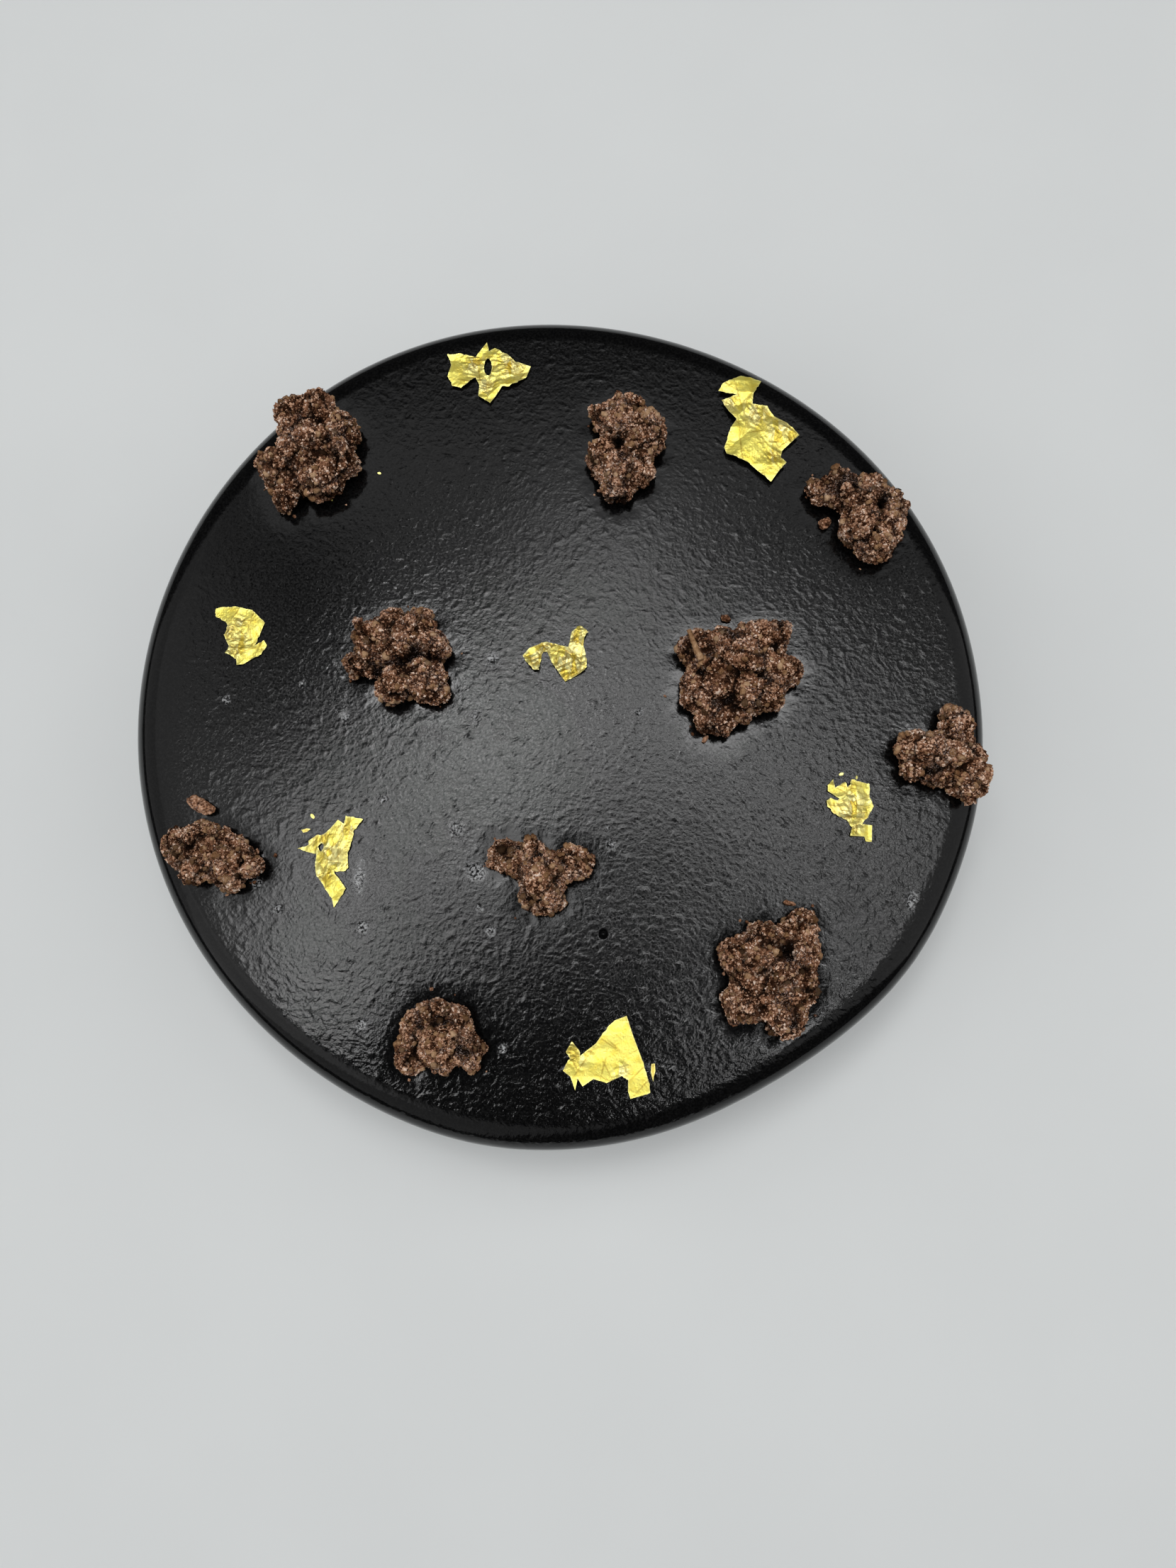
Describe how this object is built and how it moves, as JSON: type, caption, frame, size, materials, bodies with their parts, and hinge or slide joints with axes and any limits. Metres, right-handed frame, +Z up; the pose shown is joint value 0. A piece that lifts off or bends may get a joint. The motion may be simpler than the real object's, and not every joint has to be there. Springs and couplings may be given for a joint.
{
  "type": "entremet cake",
  "caption": "Round uncut entremet cake under a satin black glaze with a rounded shoulder, topped with craggy cocoa crumble clumps and torn gold leaf.",
  "frame": {"origin": "middle of the flat base on which the cake rests", "axes": "+Z up through the middle of the cake, +X to the right and +Y away from the viewer in the reference view"},
  "size_m": [0.1852, 0.1845, 0.0607],
  "materials": {
    "glaze": "satin black poured glaze with fine wrinkles",
    "crumble": "dry baked cocoa crumble, granular and matte",
    "gold": "thin crumpled gold leaf, bright with dull folds"
  },
  "bodies": {
    "root": {"glazed_cake": "glaze", "crumble_01": "crumble", "crumble_02": "crumble", "crumble_03": "crumble", "crumble_04": "crumble", "crumble_05": "crumble", "crumble_06": "crumble", "crumble_07": "crumble", "crumble_08": "crumble", "crumble_09": "crumble", "crumble_10": "crumble", "crumb_01": "crumble", "crumb_02": "crumble", "crumb_03": "crumble", "crumb_04": "crumble", "gold_leaf_01": "gold", "gold_leaf_02": "gold", "gold_leaf_03": "gold", "gold_leaf_04": "gold", "gold_leaf_05": "gold", "gold_leaf_06": "gold", "gold_leaf_07": "gold", "gold_flake_01": "gold", "gold_flake_02": "gold"}
  },
  "joints": []
}
